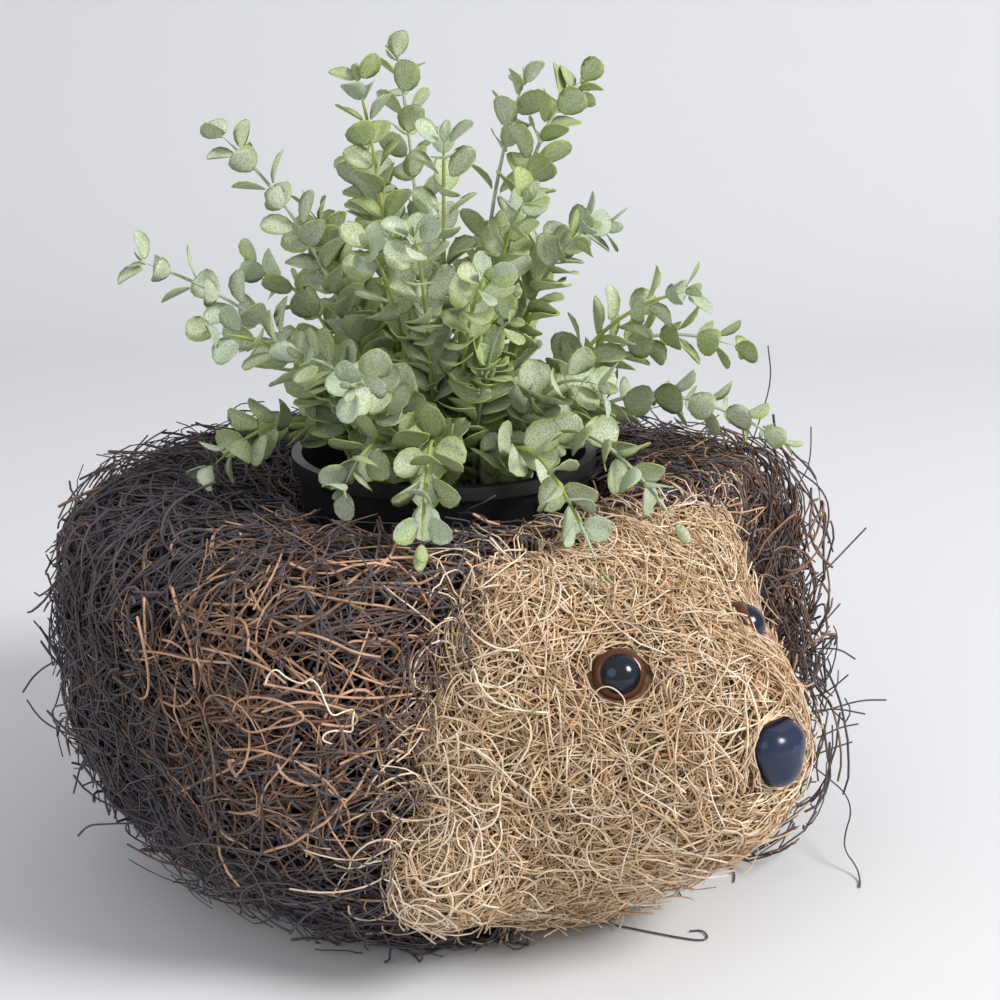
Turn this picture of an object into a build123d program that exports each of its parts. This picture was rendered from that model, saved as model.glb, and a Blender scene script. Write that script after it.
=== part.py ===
from build123d import *
import math
import os

# A planter made as a hedgehog: a nest of dark palm fibre on a hidden frame, a pale fibre face with
# button eyes and nose, and a plastic pot that holds a spray of round-leaved stems.
# Millimetres, +Z up, the nose towards -Y, the origin on the floor under the nest.

# Driving sizes of the nest
coat_half_width = 168.0
coat_front = -102.0
coat_rear = 168.0
coat_height = 188.0
coat_wall = 12.0
coat_floor = 14.0
coat_roof = 38.0
dish_depth = 22.0
dish_radius = 108.0
dish_lip = 8.0

# Driving sizes of the face
head_length = 102.0
face_half_width = 108.0
face_top_drop = 1.0
face_ground = 7.0
face_wall = 12.0
ear_radius = 24.0
cheek_radius = 30.0

# Driving sizes of the eyes and the nose
eye_radius = 11.0
eye_edge = 1.6
eye_cup_height = 5.0
eye_sink = 2.5
pupil_radius = 8.2
pupil_recess = 1.5
pupil_dome = 6.0
nose_width = 28.0
nose_height = 27.0
nose_depth = 14.0
nose_corner = 8.5
nose_sink = 2.0
shank_radius = 2.5
shank_tail = 4.0
washer_radius = 8.0
washer_thickness = 2.0
grip = 5.0

# Driving sizes of the frame inside
hoop_thickness = 3.0
hoop_height = 5.0
rib_width = 6.0
rib_thickness = 3.0
ring_thickness = 3.0
face_hoop_lean = 3.4

# Driving sizes of the pot, its bed and the plug
pot_lip_radius = 72.0
pot_lip_width = 2.5
pot_lip_height = 6.0
pot_base_radius = 54.0
pot_height = 141.0
pot_wall = 2.2
pot_floor = 3.0
pot_foot = 2.0
pot_foot_width = 8.0
pot_proud = 15.0
mouth_gap = 3.0
mouth_ledge = 8.0
bed_margin = 6.0
plug_radius = 38.0
plug_height = 55.0

# Driving sizes of the plant
plant_reach = 190.0
plant_rise = 185.0
stem_width = 2.4
stem_socket = 15.0
stem_inner_ring = 18.0
stem_outer_ring = 30.0
leaf_length = 19.0
leaf_width = 18.0
leaf_thickness = 1.0
leaf_spacing = 14.0
leaf_gap = 0.65
leaf_room = 0.8

# Clearances
fit = 0.3
slip = 0.1
overrun = 40.0

# Angles in degrees
eye_angle = 51.6
eye_yaw = 40.0
eye_pitch = 28.0
nose_pitch = 12.0
leaf_lift = 38.0
leaf_cross = 90.0
leaf_twists = (0, 30, -30, 60, -60, 90)
leaf_rolls = (0, 28, -18, 12, -32)

# Levels of the nest's plan that carry a hoop, and how many levels a rib reaches up
hoop_levels = (3, 5)
rib_levels = 7

# Plan of the nest at each level: height, half-width and rear, then the front and rear corner radii
# as shares of the half-width at that level
coat_shares = [
    (0.00, 0.54, 0.62, 0.74, 0.88),
    (0.05, 0.67, 0.735, 0.68, 0.88),
    (0.13, 0.77, 0.82, 0.62, 0.88),
    (0.32, 0.935, 0.95, 0.42, 0.88),
    (0.53, 0.99, 0.99, 0.32, 0.88),
    (0.72, 1.00, 1.00, 0.28, 0.88),
    (0.88, 0.975, 0.975, 0.30, 0.88),
    (0.96, 0.90, 0.90, 0.36, 0.88),
    (1.00, 0.79, 0.80, 0.42, 0.88),
]

# Cross-sections of the face towards the nose: length, half-width, half-height, height of the centre
head_shares = [
    (0.00, 1.00, 1.00, 1.00),
    (0.275, 0.86, 0.867, 0.99),
    (0.54, 0.648, 0.667, 0.98),
    (0.765, 0.463, 0.522, 1.01),
    (0.92, 0.306, 0.378, 1.05),
    (1.00, 0.167, 0.21, 1.08),
]
eye_section_shares = head_shares[2]
face_hoop_shares = head_shares[1]
ear_place_shares = (0.57, 0.08, 0.70)
cheek_place_shares = (0.85, 0.06, -0.43)
nose_place_share = 1.14
nose_top_share = 0.4

# Outlines of the nose from its seat to its tip: height over the seat, size of the outline
nose_shares = [(0.0, 0.9), (0.25, 1.0), (0.55, 0.93), (0.8, 0.74), (0.95, 0.45), (1.0, 0.2)]

# Outline of a leaf from its stalk to its point: along its length, across its half-width
leaf_shares = [(0.0, 0.1), (0.48, 1.0), (0.97, 0.4)]
leaf_size_shares = (1.0, 0.9, 0.8, 0.66)

# Stems of the plant: direction in degrees, reach, height of the arch, height of the tip
sprig_shares = [
    (148, 0.71, 0.30, 0.50),
    (138, 0.52, 0.45, 0.79),
    (112, 0.22, 0.50, 0.92),
    (62, 0.42, 0.55, 0.96),
    (-14, 0.40, 0.75, 0.91),
    (12, 0.37, 0.60, 0.90),
    (-38, 0.40, 0.62, 0.56),
    (-47, 0.72, 0.45, 0.27),
    (-33, 0.90, 0.40, -0.03),
    (-137, 0.73, 0.42, -0.03),
    (-104, 0.70, 0.42, -0.13),
    (-80, 0.67, 0.42, -0.09),
    (-157, 0.55, 0.30, 0.04),
    (161, 0.60, 0.35, 0.02),
    (172, 0.62, 0.30, 0.37),
    (128, 0.33, 0.35, 0.61),
    (-172, 0.50, 0.25, 0.32),
    (-150, 0.66, 0.32, 0.30),
    (-122, 0.47, 0.35, 0.51),
    (-112, 0.42, 0.35, 0.40),
    (-60, 0.60, 0.35, 0.43),
    (-88, 0.50, 0.30, 0.24),
    (85, 0.34, 0.45, 0.70),
    (30, 0.62, 0.40, 0.48),
    (102, 0.60, 0.35, 0.42),
    (70, 0.72, 0.40, 0.20),
    (-142, 0.40, 0.36, 0.60),
    (-161, 0.36, 0.40, 0.56),
    (-97, 0.32, 0.45, 0.66),
    (-132, 0.28, 0.50, 0.80),
    (-72, 0.38, 0.40, 0.58),
]
stem_lean_share = 0.12
outer_ring_tip_share = 0.45
stem_corner_share = math.sqrt(0.5)
nearly_flat_share = 0.2

# Places that follow from the sizes above
face_half_height = (coat_height - face_top_drop - face_ground) / 2
face_centre_height = face_ground + face_half_height
cavity_top = coat_height - coat_roof
mouth_radius = pot_lip_radius + mouth_gap
pot_y = coat_front + coat_wall + mouth_ledge + mouth_radius
pot_top = coat_height + pot_proud
pot_base = pot_top - pot_height
pot_wall_top_radius = pot_lip_radius - pot_lip_width
plug_top = pot_base + pot_foot + pot_floor + plug_height
dish_y = coat_front + dish_lip + dish_radius
dish_low = coat_height - dish_depth
pot_axis = Axis((0, pot_y, 0), (0, 0, 1))


def save(piece, name):
    """Label a finished piece and write it as a node."""
    piece.part.label = name
    export_step(piece.part, f"parts/{name}.step")


def upright(azimuth):
    """Upright plane through the pot's axis, its X pointing out in the given direction."""
    turn = math.radians(azimuth)
    across = (math.sin(turn), -math.cos(turn), 0)
    return Plane(origin=(0, pot_y, 0), x_dir=(math.cos(turn), math.sin(turn), 0), z_dir=across)


def axial(seat):
    """Plane through a seat's axis: X is the radius and Y the height over the seat."""
    return Plane(origin=seat.origin, x_dir=seat.x_dir, z_dir=-seat.y_dir)


def coat_plan(row, low, high, inset):
    """Level plan of the nest: flat in front, with rounded corners and a round back."""
    height_share, width_share, rear_share, front_corner_share, rear_corner_share = row
    half_width = coat_half_width * width_share
    front = coat_front + inset
    rear = coat_rear * rear_share - inset
    with BuildSketch(Plane.XY.offset(low + (high - low) * height_share)) as plan:
        with Locations((0, (front + rear) / 2)):
            Rectangle(2 * (half_width - inset), rear - front)
        fillet(plan.vertices().group_by(Axis.Y)[0], half_width * front_corner_share - inset)
        fillet(plan.vertices().group_by(Axis.Y)[-1], half_width * rear_corner_share - inset)
    return plan.sketch


def head_section(row, length, inset):
    """Cross-section of the face, an ellipse square to the animal's length."""
    length_share, width_share, height_share, centre_share = row
    with BuildSketch(Plane.XZ.offset(length * length_share - coat_front)) as section:
        with Locations((0, face_centre_height * centre_share)):
            Ellipse(face_half_width * width_share - inset, face_half_height * height_share - inset)
    return section.sketch


def face_place(side, shares):
    """A point by the edge of the face, from shares of its width, length and height."""
    across_share, forward_share, up_share = shares
    x = side * face_half_width * across_share
    y = coat_front - head_length * forward_share
    return (x, y, face_centre_height + face_half_height * up_share)


def eye_seat(side):
    """Plane of an eye's seat, sunk a little under the face's surface."""
    length_share, width_share, height_share, centre_share = eye_section_shares
    around = math.radians(eye_angle)
    x = side * face_half_width * width_share * math.cos(around)
    y = coat_front - head_length * length_share
    z = face_centre_height * centre_share + face_half_height * height_share * math.sin(around)
    yaw = math.radians(eye_yaw)
    pitch = math.radians(eye_pitch)
    out = Vector(side * math.sin(yaw) * math.cos(pitch), -math.cos(yaw) * math.cos(pitch), math.sin(pitch))
    return Plane(origin=Vector(x, y, z) - out * eye_sink, x_dir=(-out.Y, out.X, 0), z_dir=out)


def eye_pocket(side):
    """Outline of the pocket that an eye sits in."""
    with BuildSketch(eye_seat(side)) as pocket:
        Circle(eye_radius + fit)
    return pocket.sketch


def nose_seat():
    """Plane of the nose's seat at the tip of the face."""
    pitch = math.radians(nose_pitch)
    out = Vector(0, -math.cos(pitch), math.sin(pitch))
    tip = Vector(0, coat_front - head_length, face_centre_height * nose_place_share)
    return Plane(origin=tip - out * nose_sink, x_dir=(1, 0, 0), z_dir=out)


def nose_outline(height, size_share, room):
    """Outline of the nose at a height over its seat: a rounded triangle, broad at the top."""
    top = nose_height * nose_top_share * size_share
    corner = nose_corner * size_share
    side = nose_width * size_share / 2 - corner
    foot = top - nose_height * size_share + corner
    with BuildSketch(nose_seat().offset(height)) as outline:
        with Locations((-side, top - corner), (side, top - corner), (0, foot)):
            Circle(corner + room)
        make_hull()
    return outline.sketch


def build_coat():
    """The dark nest: a hollow shell with a dished top and a round mouth for the pot."""
    with BuildPart() as coat:
        loft(sections=[coat_plan(row, 0, coat_height, 0) for row in coat_shares])
        loft(sections=[coat_plan(row, coat_floor, cavity_top, coat_wall) for row in coat_shares], mode=Mode.SUBTRACT)
        with BuildSketch(Plane.XY.offset(dish_low)) as dish_bottom:
            with Locations((0, pot_y)):
                Circle(mouth_radius)
        with BuildSketch(Plane.XY.offset(coat_height)) as dish_top:
            with Locations((0, dish_y)):
                Circle(dish_radius)
        loft(mode=Mode.SUBTRACT)
        with BuildSketch(Plane.XY.offset(cavity_top - fit)) as mouth:
            with Locations((0, pot_y)):
                Circle(mouth_radius)
        extrude(amount=coat_roof, mode=Mode.SUBTRACT)
    save(coat, "body_coat")


def build_face():
    """The pale face: a hollow cone with ear and cheek bulges, seats and shank holes."""
    pockets = [(eye_seat(-1), eye_pocket(-1)), (eye_seat(1), eye_pocket(1)), (nose_seat(), nose_outline(0, 1, fit))]
    with BuildPart() as face:
        loft(sections=[head_section(row, head_length, 0) for row in head_shares])
        for side in (-1, 1):
            with Locations(face_place(side, ear_place_shares)):
                Sphere(ear_radius)
            with Locations(face_place(side, cheek_place_shares)):
                Sphere(cheek_radius)
        split(bisect_by=Plane.XZ.offset(-coat_front), keep=Keep.TOP)
        inner_length = head_length - face_wall
        loft(sections=[head_section(row, inner_length, face_wall) for row in head_shares[:-1]], mode=Mode.SUBTRACT)
        for seat, pocket in pockets:
            extrude(pocket, amount=overrun, dir=seat.z_dir, mode=Mode.SUBTRACT)
            with BuildSketch(seat):
                Circle(shank_radius + slip)
            extrude(amount=-overrun, mode=Mode.SUBTRACT)
            with BuildSketch(seat.offset(-grip)):
                Circle(washer_radius + fit)
            extrude(amount=-overrun, mode=Mode.SUBTRACT)
    save(face, "face_coat")


def build_eye(side, name):
    """One eye: the cup with its shank, the domed pupil and the washer behind the face."""
    seat = eye_seat(side)
    turn_axis = Axis(seat.origin, seat.z_dir)
    floor = eye_cup_height - pupil_recess
    with BuildPart() as cup:
        with BuildSketch(axial(seat)):
            with BuildLine():
                Polyline(
                    (pupil_radius + slip, eye_cup_height),
                    (pupil_radius + slip, floor),
                    (0, floor),
                    (0, -grip - washer_thickness - shank_tail),
                    (shank_radius, -grip - washer_thickness - shank_tail),
                    (shank_radius, 0),
                    (eye_radius, 0),
                    (eye_radius, eye_edge),
                )
                TangentArc((eye_radius, eye_edge), (pupil_radius + slip, eye_cup_height), tangent=(0, 1))
            make_face()
        revolve(axis=turn_axis)
    save(cup, f"eye_cup_{name}")
    with BuildPart() as pupil:
        with BuildSketch(axial(seat)):
            with BuildLine():
                Polyline((0, floor + pupil_dome), (0, floor), (pupil_radius, floor), (pupil_radius, eye_cup_height))
                TangentArc((0, floor + pupil_dome), (pupil_radius, eye_cup_height), tangent=(1, 0))
            make_face()
        revolve(axis=turn_axis)
    save(pupil, f"eye_pupil_{name}")
    build_washer(seat, f"eye_washer_{name}")


def build_washer(seat, name):
    """A lock washer on a shank, against the inside of the face."""
    with BuildPart() as washer:
        with BuildSketch(seat.offset(-grip)):
            Circle(washer_radius)
            Circle(shank_radius + slip, mode=Mode.SUBTRACT)
        extrude(amount=-washer_thickness)
    save(washer, name)


def build_nose():
    """The nose button: a domed rounded triangle on a shank."""
    seat = nose_seat()
    with BuildPart() as nose:
        loft(sections=[nose_outline(nose_depth * height, size_share, 0) for height, size_share in nose_shares])
        with BuildSketch(seat):
            Circle(shank_radius)
        extrude(amount=-grip - washer_thickness - shank_tail)
    save(nose, "nose_button")
    build_washer(seat, "nose_washer")


def wall_lean(level):
    """How far the nest's inner wall leans over half the height of a hoop at that level."""
    rise = cavity_top - coat_floor
    leans = []
    for below, above in ((level - 1, level), (level, level + 1)):
        out = coat_half_width * abs(coat_shares[above][1] - coat_shares[below][1])
        leans.append(out / (rise * (coat_shares[above][0] - coat_shares[below][0])))
    return max(leans) * hoop_height / 2


def build_hoop(level, name):
    """A hoop of the frame, just inside the nest's wall."""
    row = coat_shares[level]
    inset = coat_wall + fit + wall_lean(level)
    with BuildPart() as hoop:
        add(coat_plan(row, coat_floor, cavity_top, inset))
        extrude(amount=hoop_height / 2, both=True)
        add(coat_plan(row, coat_floor, cavity_top, inset + hoop_thickness))
        extrude(amount=hoop_height, both=True, mode=Mode.SUBTRACT)
    save(hoop, name)


def rib_reach(row, azimuth):
    """Distance from the pot's axis to the outside of a rib at one level of the nest."""
    room = fit + max(wall_lean(level) for level in hoop_levels)
    inset = coat_wall + room + hoop_thickness + room
    if azimuth == 90:
        return coat_rear * row[2] - inset - pot_y
    if azimuth == 270:
        return pot_y - coat_front - inset
    return coat_half_width * row[1] - inset


def build_rib(azimuth, name):
    """An upright rib that carries the hoops, standing on the floor of the nest."""
    rise = cavity_top - coat_floor
    outer = [(rib_reach(row, azimuth), coat_floor + rise * row[0]) for row in coat_shares[:rib_levels]]
    inner = [(reach - rib_thickness, height) for reach, height in outer]
    with BuildPart() as rib:
        with BuildSketch(upright(azimuth)):
            Polygon(*outer, *reversed(inner), align=None)
        extrude(amount=rib_width / 2, both=True)
    save(rib, name)


def build_mouth_ring():
    """The ring under the rim of the nest's mouth."""
    with BuildPart() as ring:
        with BuildSketch(Plane.XY.offset(cavity_top - fit)):
            with Locations((0, pot_y)):
                Circle(mouth_radius + ring_thickness)
                Circle(mouth_radius, mode=Mode.SUBTRACT)
        extrude(amount=-hoop_height)
    save(ring, "frame_mouth_ring")


def build_face_hoop():
    """The hoop that holds the face open behind the eyes."""
    length_share, width_share, height_share, centre_share = face_hoop_shares
    half_width = face_half_width * width_share - face_wall - face_hoop_lean
    half_height = face_half_height * height_share - face_wall - face_hoop_lean
    with BuildPart() as hoop:
        with BuildSketch(Plane.XZ.offset((head_length - face_wall) * length_share - coat_front)):
            with Locations((0, face_centre_height * centre_share)):
                Ellipse(half_width, half_height)
                Ellipse(half_width - hoop_thickness, half_height - hoop_thickness, mode=Mode.SUBTRACT)
        extrude(amount=hoop_height / 2, both=True)
    save(hoop, "frame_face_hoop")


def build_pot():
    """The plastic pot, with its lip and foot, and the pad that it stands on."""
    wall_base_radius = pot_base_radius - pot_wall
    wall_mouth_radius = pot_wall_top_radius - pot_wall
    with BuildPart() as pot:
        with BuildSketch(upright(0)):
            Polygon(
                (0, pot_base + pot_foot),
                (pot_base_radius - pot_foot_width, pot_base + pot_foot),
                (pot_base_radius - pot_foot_width, pot_base),
                (pot_base_radius, pot_base),
                (pot_wall_top_radius, pot_top - pot_lip_height),
                (pot_lip_radius, pot_top - pot_lip_height),
                (pot_lip_radius, pot_top),
                (wall_mouth_radius, pot_top),
                (wall_base_radius, pot_base + pot_foot + pot_floor),
                (0, pot_base + pot_foot + pot_floor),
                align=None,
            )
        revolve(axis=pot_axis)
    save(pot, "pot")
    with BuildPart() as bed:
        with BuildSketch(Plane.XY.offset(coat_floor)):
            with Locations((0, pot_y)):
                Circle(pot_base_radius + bed_margin)
        extrude(amount=pot_base - coat_floor)
        chamfer(bed.edges().group_by(Axis.Z)[-1], bed_margin / 2)
    save(bed, "pot_bed")


def stem_path(index):
    """Points of one stem in its upright plane, as (distance out, height)."""
    azimuth, reach_share, arch_share, tip_share = sprig_shares[index]
    foot = stem_outer_ring if tip_share < outer_ring_tip_share else stem_inner_ring
    reach = plant_reach * reach_share
    arch = (foot + (reach - foot) * stem_lean_share, pot_top + plant_rise * arch_share)
    tip = (reach, pot_top + plant_rise * tip_share)
    length = math.dist((foot, plug_top), arch) + math.dist(arch, tip)
    runs = round(length / leaf_spacing)
    path = [(foot, plug_top - stem_socket)]
    for step in range(runs + 1):
        t = step / runs
        weights = ((1 - t) ** 2, 2 * t * (1 - t), t**2)
        out = weights[0] * foot + weights[1] * arch[0] + weights[2] * tip[0]
        height = weights[0] * plug_top + weights[1] * arch[1] + weights[2] * tip[1]
        path.append((out, height))
    return path


def stem_outline(path):
    """Outline of a stem: its path widened to both sides, mitred at each bend."""
    left = []
    right = []
    for spot, point in enumerate(path):
        before = path[max(spot - 1, 0)]
        after = path[min(spot + 1, len(path) - 1)]
        run = math.dist(before, after)
        across = (-(after[1] - before[1]) / run * stem_width / 2, (after[0] - before[0]) / run * stem_width / 2)
        left.append((point[0] + across[0], point[1] + across[1]))
        right.append((point[0] - across[0], point[1] - across[1]))
    return left + right[::-1]


def leaf_frame(plane, path, spot, twist, side):
    """Plane of one leaf: its base by the stem, X along the leaf, Z out of its upper face."""
    before = path[spot - 1]
    after = path[min(spot + 1, len(path) - 1)]
    run = math.dist(before, after)
    along = plane.x_dir * ((after[0] - before[0]) / run) + plane.y_dir * ((after[1] - before[1]) / run)
    turn = math.radians(twist)
    outward = (plane.z_dir * math.cos(turn) + plane.z_dir.cross(along) * math.sin(turn)) * side
    lift = math.radians(leaf_lift)
    length_dir = outward * math.cos(lift) + along * math.sin(lift)
    face_dir = along * math.cos(lift) - outward * math.sin(lift)
    roll = math.radians(leaf_rolls[(2 * spot + side) % len(leaf_rolls)])
    face_dir = face_dir * math.cos(roll) + length_dir.cross(face_dir) * math.sin(roll)
    root = plane.origin + plane.x_dir * path[spot][0] + plane.y_dir * path[spot][1]
    return Plane(origin=root + outward * (stem_width * stem_corner_share + leaf_gap), x_dir=length_dir, z_dir=face_dir)


def dot(first, second):
    """Scalar product of two directions."""
    return first[0] * second[0] + first[1] * second[1] + first[2] * second[2]


def discs_meet(first, second):
    """Whether two flat leaves, taken as discs (centre, face direction, radius), come too close."""
    if math.dist(first[0], second[0]) > first[2] + second[2]:
        return False
    apart = Vector(*second[0]) - Vector(*first[0])
    tilt = Vector(*first[1]).cross(Vector(*second[1]))
    sine = tilt.length
    over_first = dot(tuple(apart), first[1])
    over_second = dot(tuple(apart), second[1])
    if sine < nearly_flat_share:
        return abs(over_first) < leaf_thickness + leaf_room + second[2] * sine
    band = leaf_thickness / sine
    half_first = first[2] ** 2 - max(abs(over_second) / sine - band, 0) ** 2
    half_second = second[2] ** 2 - max(abs(over_first) / sine - band, 0) ** 2
    if half_first < 0 or half_second < 0:
        return False
    return abs(apart.dot(tilt / sine)) < math.sqrt(half_first) + math.sqrt(half_second)


def clear_of_planter(centre, radius):
    """Whether a leaf is clear of the pot, the nest, the face and its ears."""
    x, y, z = centre
    if z - radius < pot_top + leaf_room and math.hypot(x, y - pot_y) - radius < pot_lip_radius + leaf_room:
        return False
    if z - radius < coat_height + leaf_room and y + radius > coat_front and abs(x) < coat_half_width + radius:
        return False
    if y - radius < coat_front:
        forward = min(max((coat_front - y - radius) / head_length, 0), 1)
        row = max(row for row in head_shares if row[0] <= forward)
        across = x / (face_half_width * row[1] + radius)
        up = (z - face_centre_height * row[3]) / (face_half_height * row[2] + radius)
        if across**2 + up**2 < 1:
            return False
    ears = [face_place(side, ear_place_shares) for side in (-1, 1)]
    return all(math.dist(centre, ear) > ear_radius + radius for ear in ears)


def stem_points(plane, path):
    """Points close together along the middle of a stem."""
    points = []
    for start, end in zip(path, path[1:]):
        for part_share in (0, 0.25, 0.5, 0.75):
            out = start[0] + (end[0] - start[0]) * part_share
            height = start[1] + (end[1] - start[1]) * part_share
            points.append(tuple(plane.origin + plane.x_dir * out + plane.y_dir * height))
    return points


def clear_of_stems(disc, points):
    """Whether a leaf is clear of the stems of the other sprigs."""
    centre, facing, radius = disc
    for point in points:
        if math.dist(point, centre) < radius + stem_width:
            over = (point[0] - centre[0], point[1] - centre[1], point[2] - centre[2])
            if abs(dot(over, facing)) < stem_width + leaf_room:
                return False
    return True


def pair_of_leaves(plane, path, spot, size_share, others, leaves):
    """Planes and discs of the pair of leaves at one joint of a stem, turned until it is clear."""
    radius = leaf_length * size_share / 2
    for twist in leaf_twists:
        frames = [leaf_frame(plane, path, spot, twist + leaf_cross * (spot % 2), side) for side in (-1, 1)]
        discs = []
        for frame in frames:
            centre = frame.origin + frame.x_dir * radius
            discs.append((tuple(centre), tuple(frame.z_dir), radius + leaf_room))
        if not all(clear_of_planter(centre, radius) for centre, facing, radius in discs):
            continue
        if not all(clear_of_stems(disc, others) for disc in discs):
            continue
        if not any(discs_meet(disc, other) for disc in discs for other in leaves):
            return frames, discs
    return [], []


def build_plug(planes, paths):
    """The foam plug in the pot, with a socket for each stem."""
    plug_low = pot_base + pot_foot + pot_floor
    feet = [plane.origin + plane.x_dir * path[0][0] for plane, path in zip(planes, paths)]
    with BuildPart() as plug:
        with BuildSketch(Plane.XY.offset(plug_low)):
            with Locations((0, pot_y)):
                Circle(plug_radius)
        extrude(amount=plug_top - plug_low)
        with Locations(*[(foot.X, foot.Y, plug_top) for foot in feet]):
            Hole(stem_width * stem_corner_share + fit, depth=stem_socket)
    save(plug, "plant_plug")


def build_leaves():
    """One leaf of each size, lying on the XY plane with its stalk end at the origin."""
    blanks = []
    for size_share in leaf_size_shares:
        edge = [(leaf_length * size_share * a, leaf_width * size_share / 2 * b) for a, b in leaf_shares]
        mirrored = [(along, -across) for along, across in reversed(edge)]
        with BuildPart() as leaf:
            with BuildSketch():
                Polygon(*edge, *mirrored, align=None)
            extrude(amount=leaf_thickness / 2, both=True)
        blanks.append(leaf.part.solid())
    return blanks


def build_sprig(index, plane, path, others, leaves, blanks):
    """One stem with its leaves, in pairs set crosswise, all separate solids of one node."""
    with BuildPart() as stem:
        with BuildSketch(plane):
            Polygon(*stem_outline(path), align=None)
        extrude(amount=stem_width / 2, both=True)
    solids = [stem.part.solid()]
    for spot in range(2, len(path)):
        grade = (len(leaf_size_shares) * spot**2) // len(path) ** 2
        frames, discs = pair_of_leaves(plane, path, spot, leaf_size_shares[grade], others, leaves)
        leaves.extend(discs)
        solids.extend(blanks[grade].moved(frame.location) for frame in frames)
    name = f"sprig_{index + 1:02d}"
    export_step(Compound(label=name, children=solids), f"parts/{name}.step")


def build_plant():
    """The foam plug and the stems with their leaves, each leaf clear of all the others."""
    paths = [stem_path(index) for index in range(len(sprig_shares))]
    planes = [upright(row[0]) for row in sprig_shares]
    build_plug(planes, paths)
    stems = [stem_points(plane, path) for plane, path in zip(planes, paths)]
    blanks = build_leaves()
    leaves = []
    for index, (plane, path) in enumerate(zip(planes, paths)):
        others = [point for other, points in enumerate(stems) if other != index for point in points]
        build_sprig(index, plane, path, others, leaves, blanks)
    print("leaves", len(leaves))


os.makedirs("parts", exist_ok=True)
build_coat()
build_face()
for eye_side, eye_name in ((-1, "right"), (1, "left")):
    build_eye(eye_side, eye_name)
build_nose()
for hoop_level, hoop_name in zip(hoop_levels, ("low", "high")):
    build_hoop(hoop_level, f"frame_{hoop_name}_hoop")
for rib_azimuth, rib_name in ((0, "left"), (90, "rear"), (180, "right"), (270, "front")):
    build_rib(rib_azimuth, f"frame_rib_{rib_name}")
build_mouth_ring()
build_face_hoop()
build_pot()
build_plant()
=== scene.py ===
"""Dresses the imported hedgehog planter: fibre coats, frosted leaves, glossy eyes and nose, light and camera."""

import math

import bmesh
import bpy
import numpy as np
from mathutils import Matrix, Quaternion, Vector, noise
from mathutils.bvhtree import BVHTree


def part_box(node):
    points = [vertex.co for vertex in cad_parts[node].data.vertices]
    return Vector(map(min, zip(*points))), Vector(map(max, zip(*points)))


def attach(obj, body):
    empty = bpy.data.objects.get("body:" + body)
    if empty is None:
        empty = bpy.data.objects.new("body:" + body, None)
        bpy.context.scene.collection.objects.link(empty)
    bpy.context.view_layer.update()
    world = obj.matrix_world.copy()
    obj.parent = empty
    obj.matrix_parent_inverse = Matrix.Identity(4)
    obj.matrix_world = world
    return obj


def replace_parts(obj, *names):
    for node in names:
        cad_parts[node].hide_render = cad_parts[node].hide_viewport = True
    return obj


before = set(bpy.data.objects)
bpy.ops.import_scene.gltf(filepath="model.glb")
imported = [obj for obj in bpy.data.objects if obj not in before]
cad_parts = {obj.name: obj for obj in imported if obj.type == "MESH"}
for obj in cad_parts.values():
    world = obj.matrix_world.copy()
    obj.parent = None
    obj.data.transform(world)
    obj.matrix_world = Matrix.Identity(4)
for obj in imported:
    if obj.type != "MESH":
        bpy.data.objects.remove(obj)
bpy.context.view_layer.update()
scene = bpy.context.scene
scene.view_settings.view_transform = "Standard"

# Lengths are metres.
MILLI = 0.001
pot_low, pot_high = (Vector(corner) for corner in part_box("pot"))
pot_axis = Vector(((pot_low.x + pot_high.x) / 2.0, (pot_low.y + pot_high.y) / 2.0, 0.0))
pot_clear_radius = (pot_high.x - pot_low.x) / 2.0 + 2.5 * MILLI
pot_base_height = pot_low.z
face_low, face_high = (Vector(corner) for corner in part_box("face_coat"))
face_back = face_high.y
face_half_width = 108.0 * MILLI
face_half_height = (face_high.z - face_low.z) / 2.0
face_centre_height = (face_high.z + face_low.z) / 2.0
coat_low, coat_high = (Vector(corner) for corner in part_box("body_coat"))
ground_clear = 0.8 * MILLI
leaf_clear = 4.0 * MILLI
button_clear = 1.1 * MILLI
button_search = 16.0 * MILLI
button_skin = 1.5 * MILLI
face_strand_clear = 2.4 * MILLI
lifted_strand_clear = 11.0 * MILLI
pot_leaf_clear = 11.0 * MILLI
seat_reach = 10.0 * MILLI
lobe_spots = [Vector((side * across, -110.0, height)) * MILLI
              for across, height in ((62.0, 160.0), (92.0, 58.0)) for side in (-1.0, 1.0)]
lobe_reach = 52.0 * MILLI
lobe_smoothing = 45
lobe_back_gap = 3.0 * MILLI
coat_grain = 4.5 * MILLI
face_grain = 4.0 * MILLI
bed_grain = 4.0 * MILLI
hollow_probe = 5.0 * MILLI
underside_band = 1.5 * MILLI
face_seam = 2.0 * MILLI
face_edge_band = 12.0 * MILLI
face_foot_band = 24.0 * MILLI
pot_foot_gap = 2.0 * MILLI
curled_reach = 58.0 * MILLI
coat_loop_height = 7.0 * MILLI
eye_loop_height = 1.6 * MILLI
cheek_loop_height = 5.0 * MILLI
collar_start = 6.0 * MILLI
collar_step = 0.4 * MILLI
leaf_start_drop = 12.0 * MILLI
fringe_reach = 18.0 * MILLI
weld_reach = 0.002 * MILLI
tip_weld_reach = 0.0005 * MILLI
least_step = 0.3 * MILLI
leaf_thickness = 0.5 * MILLI
leaf_stalk = 1.2 * MILLI
warm_front = -50.0 * MILLI
warm_fade = 80.0 * MILLI
warm_height = 135.0 * MILLI
warm_half_band = 35.0 * MILLI
warm_band_fade = 45.0 * MILLI

# Radii of strands and stems are millimetres, because the curves that they are drawn with are a millimetre deep.
stem_foot_radius = 1.3
stem_tip_radius = 0.75
stray_radius = 0.48

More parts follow.
